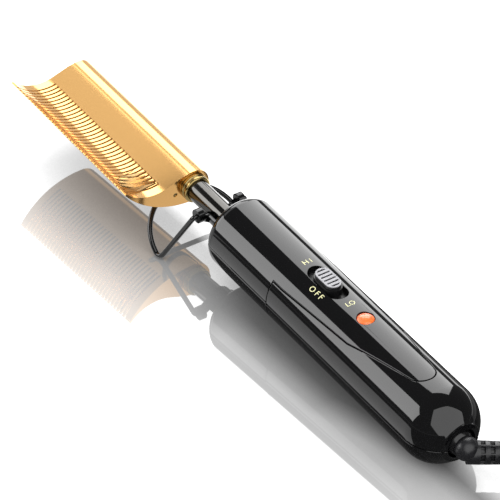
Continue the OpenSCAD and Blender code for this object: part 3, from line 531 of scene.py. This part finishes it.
def with_sawn_flanks(material):
    """Between the teeth the saw leaves bare pale metal with a dull brushed face."""
    tree = material.node_tree
    output = next(node for node in tree.nodes if node.type == "OUTPUT_MATERIAL")
    skin = output.inputs["Surface"].links[0].from_socket
    shape = add_node(tree, "ShaderNodeNewGeometry")
    place = add_node(tree, "ShaderNodeTexCoord")
    facing = add_node(tree, "ShaderNodeVectorMath", {0: shape.outputs["True Normal"], 1: axis_dir},
                      operation="DOT_PRODUCT")
    either_way = add_node(tree, "ShaderNodeMath", {0: facing.outputs["Value"]}, operation="ABSOLUTE")
    is_flank = add_node(tree, "ShaderNodeMapRange", {
        "Value": either_way.outputs[0], "From Min": FLANK_FACING[0], "From Max": FLANK_FACING[1]})
    along = add_node(tree, "ShaderNodeVectorMath", {0: place.outputs["Object"], 1: axis_dir},
                     operation="DOT_PRODUCT")
    first = stood(TEETH_FROM, 0, 0).dot(axis_dir)
    toothed = add_node(tree, "ShaderNodeMath", {0: along.outputs["Value"], 1: first},
                       operation="GREATER_THAN")
    share = add_node(tree, "ShaderNodeMath", {0: is_flank.outputs[0], 1: toothed.outputs[0]},
                     operation="MULTIPLY")
    sawn = add_node(tree, "ShaderNodeBsdfPrincipled", {
        "Base Color": linear("#F3D197"), "Metallic": 1.0, "Roughness": 0.5})
    both = add_node(tree, "ShaderNodeMixShader", {"Fac": share.outputs[0], 1: skin, 2: sawn.outputs[0]})
    tree.links.new(both.outputs[0], output.inputs["Surface"])


with_sawn_flanks(gold)
dress("comb_metal", gold)
softened("comb_head", 0.25)

# %% [markdown]
# The ferrule and the small screw in the comb's end are turned from a copper alloy and darkened,
# so they read as aged bronze: brown, polished on the lands and duller in the groove.

# %% Ferrule and comb screw
# Darkened bronze, turned and polished: sharp reflections in a brown metal
bronze = finish("darkened_turned_bronze", ("#8E7A4E", "#A8925E"), 1.5, 0.001, (0.18, 0.28), Metallic=1.0)
dress("bronze", bronze)
softened("ferrule", 0.2)

# %% [markdown]
# The neck is a drawn steel tube plated with black nickel: a mirror, but darker and warmer than
# chrome. Buffing leaves hair-thin rings round it, so its grain is stretched round the tube by a
# Mapping node that squeezes the pattern along the axis.

# %% Neck tube
# In mm, along the tube and round it
RING_PITCH, RING_RUN = 0.15, 40


def plated_tube():
    """Black nickel plate on drawn steel: a dark mirror with hair-thin buffing rings."""
    material, tree = new_material("black_nickel_plated_steel")
    place = add_node(tree, "ShaderNodeTexCoord")
    run = 1 / (RING_RUN * MM)
    turned = add_node(tree, "ShaderNodeMapping", {
        "Vector": place.outputs["Object"], "Rotation": (0, tilt, 0),
        "Scale": (1 / (RING_PITCH * MM), run, run)})
    rings = add_node(tree, "ShaderNodeTexNoise", {"Vector": turned.outputs[0], "Scale": 1.0, "Detail": 2.0})
    rough = add_node(tree, "ShaderNodeMapRange", {
        "Value": rings.outputs["Fac"], "To Min": 0.05, "To Max": 0.13})
    tone = add_node(tree, "ShaderNodeMix", {
        0: rings.outputs["Fac"], 6: linear("#4B4A48"), 7: linear("#585755")}, data_type="RGBA")
    skin = add_node(tree, "ShaderNodeBsdfPrincipled", {
        "Base Color": tone.outputs[2], "Metallic": 1.0, "Roughness": rough.outputs[0]})
    add_node(tree, "ShaderNodeOutputMaterial", {"Surface": skin.outputs[0]})
    return material


dress("tube_chrome", plated_tube())

# %% [markdown]
# The stand is bent steel wire and its clip is pressed steel, both with glossy black enamel. Dipped
# enamel is a little uneven, like orange peel, so it bends its reflections slightly.

# %% Stand and bracket
# Black stove enamel on steel: a deep gloss over an orange peel of about 1.5 mm
enamel = finish("black_stove_enamel", ("#070708", "#0B0B0C"), 1.5, 0.004, (0.1, 0.16), IOR=1.5)
dress("stand_black", enamel)
softened("stand_bracket", 0.3)

# %% [markdown]
# The handle is four glossy ABS mouldings. Polished moulds give them a skin like a black mirror
# with a very faint waviness, and the seams between them show as crisp dark lines because each
# moulding's edge is slightly round.

# %% Handle shells
# Glossy moulded ABS from polished moulds, faintly wavy over about a centimetre
abs_gloss = finish("glossy_moulded_abs", ("#070708", "#0B0B0C"), 9, 0.0015, (0.03, 0.05), IOR=1.53)
dress("handle_black", abs_gloss)
for shell in ("front_upper_shell", "front_lower_shell", "rear_upper_shell", "rear_lower_shell"):
    softened(shell, 0.35, clamped=False)

# %% [markdown]
# The heat settings are pad-printed on the tongue round the slot: HI and LO across the handle at
# the slot's ends, OFF beside its middle. Text is made a mesh, cut into short pieces, and wrapped
# onto the handle's round skin, where it stands as a film of ink.

# %% Lettering
HANDLE_R = 17.9
INK_LIFT = 0.04
LETTER_MERGE = 0.001


def printed(words, name, size, place, turned, spacing=1.0):
    """Words on the handle's top: `place` is (along, round) in mm; `turned` runs them along the handle."""
    bpy.ops.object.text_add()
    label = bpy.context.object
    label.name = name
    label.data.body = words
    label.data.align_x = "CENTER"
    label.data.align_y = "CENTER"
    label.data.size = size
    label.data.space_character = spacing
    label.data.extrude = INK_LIFT / 2
    alone(label)
    bpy.ops.object.convert(target="MESH")
    bpy.ops.object.mode_set(mode="EDIT")
    bpy.ops.mesh.select_all(action="SELECT")
    bpy.ops.mesh.remove_doubles(threshold=LETTER_MERGE)
    bpy.ops.mesh.quads_convert_to_tris()
    bpy.ops.mesh.subdivide(number_cuts=2)
    bpy.ops.object.mode_set(mode="OBJECT")
    for corner in label.data.vertices:
        right, top, out = corner.co
        along, arc = (place[0] - right, place[1] - top) if turned else (place[0] + top, place[1] - right)
        angle, radius = arc / HANDLE_R, HANDLE_R + INK_LIFT / 2 + out
        corner.co = stood(along, radius * math.sin(angle), radius * math.cos(angle))
    label.data.materials.clear()
    label.data.materials.append(ink)
    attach(label, "body")
    print(label.name, len(label.data.polygons), "faces")


# Pad-printed ink: pale yellow, matt beside the gloss of the plastic
ink = finish("pad_printed_ink", ("#EFEDB0", "#F7F5C2"), 0.2, 0.002, (0.45, 0.6))
printed("HI", "label_high", 3.9, (-37.8, -0.2), turned=False, spacing=1.45)
printed("OFF", "label_off", 3.9, (-55.2, 7.6), turned=True, spacing=1.5)
printed("LO", "label_low", 3.6, (-70.1, 0.1), turned=False, spacing=1.0)

# %% [markdown]
# The knob is moulded in satin grey plastic with grip grooves across it, and slides with a dark
# shutter under it that keeps the slot closed. Its material paints light and shade by height: a
# painted highlight pale on the rim and ridges, painted shade dark in the grooves and down the
# sides. The grooves of the solid run out at its ends, so a low ring is set on top, which closes
# them as on the real knob.

# %% Knob
KNOB_AT, KNOB_TOP = -53.5, 20.4
# Depths under the knob's top in mm: painted shade from the first down, painted highlight from the second up
SHADE_FROM, HIGHLIGHT_FROM = 0.5, 0.2
KNOB_GRAIN, KNOB_RELIEF = 2 / 3, 0.005


def painted_light_knob():
    """Grey moulded ABS with painted light: pale on the rim and ridges, painted shade in the grooves and down the
    sides.
    """
    material, tree = new_material("satin_grey_abs")
    place = add_node(tree, "ShaderNodeTexCoord")
    height = add_node(tree, "ShaderNodeVectorMath", {0: place.outputs["Object"], 1: up_dir},
                      operation="DOT_PRODUCT")
    top = stood(KNOB_AT, 0, KNOB_TOP).dot(up_dir)
    lit_share = add_node(tree, "ShaderNodeMapRange", {
        "Value": height.outputs["Value"],
        "From Min": top - SHADE_FROM * MM, "From Max": top - HIGHLIGHT_FROM * MM})
    grain = add_node(tree, "ShaderNodeTexNoise", {
        "Vector": place.outputs["Object"], "Scale": 1 / (KNOB_GRAIN * MM), "Detail": 3})
    light = add_node(tree, "ShaderNodeMix", {
        0: grain.outputs["Fac"], 6: linear("#9C9CA0"), 7: linear("#ADADB1")}, data_type="RGBA")
    # Near-black painted shade in the grooves and down the sides, the lit grey on top
    painted_tone = add_node(tree, "ShaderNodeMix", {
        0: lit_share.outputs[0], 6: linear("#0F0F10"), 7: light.outputs[2]}, data_type="RGBA")
    rough = add_node(tree, "ShaderNodeMapRange", {
        "Value": grain.outputs["Fac"], "To Min": 0.3, "To Max": 0.42})
    relief = add_node(tree, "ShaderNodeBump", {"Height": grain.outputs["Fac"], "Distance": KNOB_RELIEF * MM})
    skin = add_node(tree, "ShaderNodeBsdfPrincipled", {
        "Base Color": painted_tone.outputs[2], "Roughness": rough.outputs[0], "Normal": relief.outputs[0]})
    add_node(tree, "ShaderNodeOutputMaterial", {"Surface": skin.outputs[0]})
    return material


knob_satin = painted_light_knob()
dress("knob_grey", knob_satin)
softened("switch_knob", 0.2)

# %% Knob rim
# A ring of two half circles joined by straights
RIM_LEN, RIM_WIDE, RIM_THICK, RIM_HIGH = 14.0, 7.4, 0.75, 0.65
# It stands a hair over the ridges, so that no two faces lie in one plane
RIM_SIDES, RIM_PROUD, RIM_ROUND = 64, 0.02, 0.15
# Pieces made here are rounded at the edges that turn by more than this, in degrees
MADE_CORNER = 35
bpy.ops.mesh.primitive_circle_add(vertices=RIM_SIDES, radius=RIM_WIDE / 2 * MM, fill_type="NGON")
rim = bpy.context.object
rim.name = "knob_rim"
alone(rim)
for corner in rim.data.vertices:
    corner.co.x += math.copysign((RIM_LEN - RIM_WIDE) / 2 * MM, corner.co.x)
bpy.ops.object.mode_set(mode="EDIT")
bpy.ops.mesh.select_mode(type="FACE")
bpy.ops.mesh.select_all(action="SELECT")
bpy.ops.mesh.inset(thickness=RIM_THICK * MM, use_boundary=True)
bpy.ops.mesh.delete(type="FACE")
bpy.ops.mesh.select_all(action="SELECT")
bpy.ops.mesh.extrude_region_move(TRANSFORM_OT_translate={"value": (0, 0, RIM_HIGH * MM)})
bpy.ops.mesh.select_all(action="SELECT")
bpy.ops.mesh.normals_make_consistent(inside=False)
bpy.ops.object.mode_set(mode="OBJECT")
round_edges(rim, RIM_ROUND, MADE_CORNER)
rim_at = stood(KNOB_AT, 0, KNOB_TOP - RIM_HIGH + RIM_PROUD)
rim.matrix_world = Matrix.Translation(rim_at) @ Matrix.Rotation(-tilt, 4, "Y")
bpy.ops.object.transform_apply(location=True, rotation=True, scale=True)
rim.data.materials.append(knob_satin)
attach(rim, "switch")
print("knob rim:", len(rim.data.polygons), "faces")

# %% Shutter and switch
# Moulded nylon, black and matt
nylon = finish("matt_black_nylon", ("#0A0A0B", "#131315"), 0.3, 0.006, (0.4, 0.5))
dress("switch_black", nylon)

# %% [markdown]
# The power lens is a small dome of tinted clear polycarbonate. Light passes through the skin and
# comes back from inside, so a dome looks pinker on the side of the light and more orange across
# from it. A painted blend across the dome and a faint painted glow stand in for that, under a clear
# polished coat.

# %% Power lens
LENS_X, LENS_R = -81, 3.7
LENS_GRAIN, LENS_RELIEF = 0.6, 0.004


def tinted_lens():
    """Tinted polycarbonate, polished, under a clear gloss: a painted blend pinker on the lit side and a faint
    painted glow.
    """
    material, tree = new_material("tinted_polycarbonate")
    place = add_node(tree, "ShaderNodeTexCoord")
    middle = stood(LENS_X, 0, HANDLE_R)
    moved = add_node(tree, "ShaderNodeVectorMath", {0: place.outputs["Object"], 1: tuple(-middle)})
    parts = add_node(tree, "ShaderNodeSeparateXYZ", {0: moved.outputs[0]})
    # Painted light: the dome is blended pinker toward its lit side
    lit_side_share = add_node(tree, "ShaderNodeMapRange", {
        "Value": parts.outputs["X"], "From Min": -LENS_R * MM, "From Max": LENS_R * MM})
    tone = add_node(tree, "ShaderNodeMix", {
        0: lit_side_share.outputs[0], 6: linear("#FF7A2C"), 7: linear("#FF8A6C")}, data_type="RGBA")
    grain = add_node(tree, "ShaderNodeTexNoise", {
        "Vector": place.outputs["Object"], "Scale": 1 / (LENS_GRAIN * MM)})
    relief = add_node(tree, "ShaderNodeBump", {
        "Height": grain.outputs["Fac"], "Strength": 1.0, "Distance": LENS_RELIEF * MM})
    # A faint emission paints the glow of light that comes back from inside
    skin = add_node(tree, "ShaderNodeBsdfPrincipled", {
        "Base Color": tone.outputs[2], "Normal": relief.outputs[0], "Roughness": 0.12, "IOR": 1.58,
        "Subsurface Weight": 0.3, "Subsurface Radius": (1.5 * MM, 0.5 * MM, 0.3 * MM),
        "Subsurface Scale": 1.0, "Emission Color": linear("#FF6A3A"), "Emission Strength": 0.25})
    add_node(tree, "ShaderNodeOutputMaterial", {"Surface": skin.outputs[0]})
    return material


dress("lens_orange", tinted_lens())

# %% [markdown]
# The cord leaves through a soft PVC boot on the swivel's ball. The real boot is moulded as rings
# joined by short bridges, so it can bend without kinking. It is grown ring by ring from a circle,
# then the faces between the bridges are pushed in, and a bevel rounds what is left.

# %% Cord boot
BOOT_SIDES = 40
BRIDGE_EVERY = 5
BOOT_R, BOOT_END_R, BOOT_LEN = 5.05, 4.2, 35
FIRST_RING = 2.5
GAP_START, GAP_PITCH, GAP_W, GAP_DEPTH = 5.9, 3.95, 1.7, 1.7
GAP_COUNT = 7


def boot_radius(s):
    """The boot tapers from the first gap to its end; `s` is the way from its start, in mm."""
    return BOOT_R - (BOOT_R - BOOT_END_R) * max(s - GAP_START, 0) / (BOOT_LEN - GAP_START)


gaps = [GAP_START + i * GAP_PITCH for i in range(GAP_COUNT)]
stations = sorted([0, FIRST_RING, BOOT_LEN] + gaps + [s + GAP_W for s in gaps])
bpy.ops.mesh.primitive_circle_add(vertices=BOOT_SIDES, radius=BOOT_R * MM, fill_type="NGON")
boot = bpy.context.object
boot.name = "cord_boot_moulded"
alone(boot)
bpy.ops.object.mode_set(mode="EDIT")
bpy.ops.mesh.select_all(action="SELECT")
for s0, s1 in zip(stations, stations[1:]):
    bpy.ops.mesh.extrude_region_move(TRANSFORM_OT_translate={"value": (0, 0, (s1 - s0) * MM)})
    scale = boot_radius(s1) / boot_radius(s0)
    bpy.ops.transform.resize(value=(scale, scale, 1))
bpy.ops.mesh.select_all(action="SELECT")
bpy.ops.mesh.normals_make_consistent(inside=False)
bpy.ops.mesh.select_mode(type="FACE")
bpy.ops.mesh.select_all(action="DESELECT")
bpy.ops.object.mode_set(mode="OBJECT")
for face in boot.data.polygons:
    s = face.center.z / MM
    sector = round(math.degrees(math.atan2(face.center.y, face.center.x)) * BOOT_SIDES / 360 - 0.5)
    in_gap = any(g < s < g + GAP_W for g in gaps) and abs(face.normal.z) < 0.5
    face.select = in_gap and sector % BRIDGE_EVERY != 0
picked = sum(face.select for face in boot.data.polygons)
bpy.ops.object.mode_set(mode="EDIT")
bpy.ops.mesh.extrude_region_shrink_fatten(TRANSFORM_OT_shrink_fatten={"value": -GAP_DEPTH * MM})
bpy.ops.object.mode_set(mode="OBJECT")
narrowest = min(math.hypot(v.co.x, v.co.y) for v in boot.data.vertices) / MM
print("boot faces pushed in:", picked, "narrowest radius in mm:", round(narrowest, 2))

# %% Boot in its place, with its round head
BOOT_ANGLE, BOOT_TURN, BOOT_DROP = 56, 8, 2.2
SOCKET_X = -152.7
HEAD_PROUD, BOOT_ROUND = 0.35, 0.22
bend = math.radians(BOOT_ANGLE)
boot_way = stood(-math.cos(bend), -math.sin(bend), 0) - stood(0, 0, 0)
lay_down = boot_way.to_track_quat("Z", "X").to_matrix().to_4x4()
turn = Matrix.Rotation(math.radians(BOOT_TURN), 4, "Z")
boot.matrix_world = Matrix.Translation(stood(SOCKET_X, 0, -BOOT_DROP)) @ lay_down @ turn
bpy.ops.object.transform_apply(location=True, rotation=True, scale=True)
bpy.ops.mesh.primitive_uv_sphere_add(segments=48, ring_count=24, radius=(BOOT_R + HEAD_PROUD) * MM,
                                     location=stood(SOCKET_X, 0, 0))
head = bpy.context.object
bpy.ops.object.transform_apply(location=True, rotation=True, scale=True)
bpy.ops.object.select_all(action="DESELECT")
head.select_set(True)
boot.select_set(True)
bpy.context.view_layer.objects.active = boot
bpy.ops.object.join()
round_edges(boot, BOOT_ROUND, MADE_CORNER)
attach(boot, "cord_swivel")
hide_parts("cord_boot")
print(boot.name, len(boot.data.polygons), "faces")

# %% [markdown]
# Cord, boot and plug are soft black PVC. It is extruded or moulded with a satin skin, which is
# finely pitted and picks up broad weak highlights.

# %% Cord, boot, swivel and plug
# Flexible PVC: satin black with fine pits a third of a millimetre across
pvc = finish("flexible_black_pvc", ("#151517", "#1F1F22"), 0.3, 0.006, (0.3, 0.4))
dress("cord_black", pvc)
boot.data.materials.append(pvc)
cord.data.materials.append(pvc)
# Moulded acetal of the swivel: harder and glossier than the cord
acetal = finish("moulded_black_acetal", ("#0C0C0D", "#141415"), 0.8, 0.003, (0.16, 0.24))
dress("swivel_black", acetal)
# Rigid PVC of the plug: a fine eroded grain, rather matt
plug_pvc = finish("moulded_plug_pvc", ("#101011", "#1A1A1C"), 0.25, 0.01, (0.42, 0.55))
dress("plug_black", plug_pvc)
softened("plug_body", 0.8)
softened("plug_boot", 0.25)

# %% [markdown]
# The pieces inside the handle and the neck are only seen when the part is taken apart, but each
# has the finish of its real material: drawn and pressed steel, brass contacts, fired ceramic,
# glass braid, a green board with its solder mask, and lacquered components.

# %% Inner pieces
# Drawn stainless sheath of the heater, dulled by heat
dress("heater_steel", finish(
    "drawn_stainless_sheath", ("#B8B4AA", "#C8C3B6"), 0.6, 0.002, (0.28, 0.4), Metallic=1.0))
# Pressed and zinc-plated steel
dress("steel", finish("zinc_plated_steel", ("#ACACAA", "#BDBDBA"), 0.8, 0.002, (0.25, 0.38), Metallic=1.0))
# Turned steel of the screws, passivated: a little darker and glossier
dress("screw_steel", finish(
    "passivated_screw_steel", ("#8E8E8C", "#A2A29F"), 0.4, 0.002, (0.2, 0.32), Metallic=1.0))
# Fired ceramic and pressed mica: chalky and matt
dress("ceramic", finish("fired_ceramic", ("#D2CAB6", "#DED8C6"), 0.3, 0.01, (0.6, 0.75)))
# Stamped brass contacts, slightly tarnished
dress("contact_brass", finish(
    "stamped_brass", ("#B08A3C", "#CFAA55"), 1.2, 0.002, (0.2, 0.34), Metallic=1.0))
# Solder mask over fibreglass: the weave shows faintly, about half a millimetre across
dress("board_green", finish("green_solder_mask", ("#23583A", "#2E6B45"), 0.5, 0.006, (0.25, 0.35)))
# Lacquered components, warm brown
dress("component", finish("lacquered_component", ("#9A6A36", "#AE7A42"), 0.5, 0.006, (0.3, 0.42)))

# %% Wire sleeves
# Strand spacing, its relief and the two directions it is laid in: mm, mm and degrees
STRAND, STRAND_RELIEF, STRAND_TURNS = 0.5, 0.05, (35, -35)
# What one wave of the pattern measures at scale 1
WAVE_LENGTH = 0.31


def glass_braid():
    """Woven glass sleeve: strands cross every half millimetre, drawn as two crossing wave patterns."""
    material, tree = new_material("woven_glass_sleeve")
    place = add_node(tree, "ShaderNodeTexCoord")
    strands = []
    for turn in STRAND_TURNS:
        laid = add_node(tree, "ShaderNodeMapping", {
            "Vector": place.outputs["Object"], "Rotation": (0, 0, math.radians(turn))})
        wave = add_node(tree, "ShaderNodeTexWave", {
            "Vector": laid.outputs[0], "Scale": WAVE_LENGTH / (STRAND * MM)})
        strands.append(wave.outputs["Fac"])
    weave = add_node(tree, "ShaderNodeMath", {0: strands[0], 1: strands[1]}, operation="MAXIMUM")
    tone = add_node(tree, "ShaderNodeMix", {
        0: weave.outputs[0], 6: linear("#B9B3A6"), 7: linear("#E8E4DC")}, data_type="RGBA")
    relief = add_node(tree, "ShaderNodeBump", {
        "Height": weave.outputs[0], "Strength": 1.0, "Distance": STRAND_RELIEF * MM})
    skin = add_node(tree, "ShaderNodeBsdfPrincipled", {
        "Base Color": tone.outputs[2], "Roughness": 0.7, "Normal": relief.outputs[0]})
    add_node(tree, "ShaderNodeOutputMaterial", {"Surface": skin.outputs[0]})
    return material


dress("wire_jacket", glass_braid())
undressed = [name for name, node in nodes.items() if node.data.materials[0].name == slot_of[name]]
print("solids without a finish:", undressed)
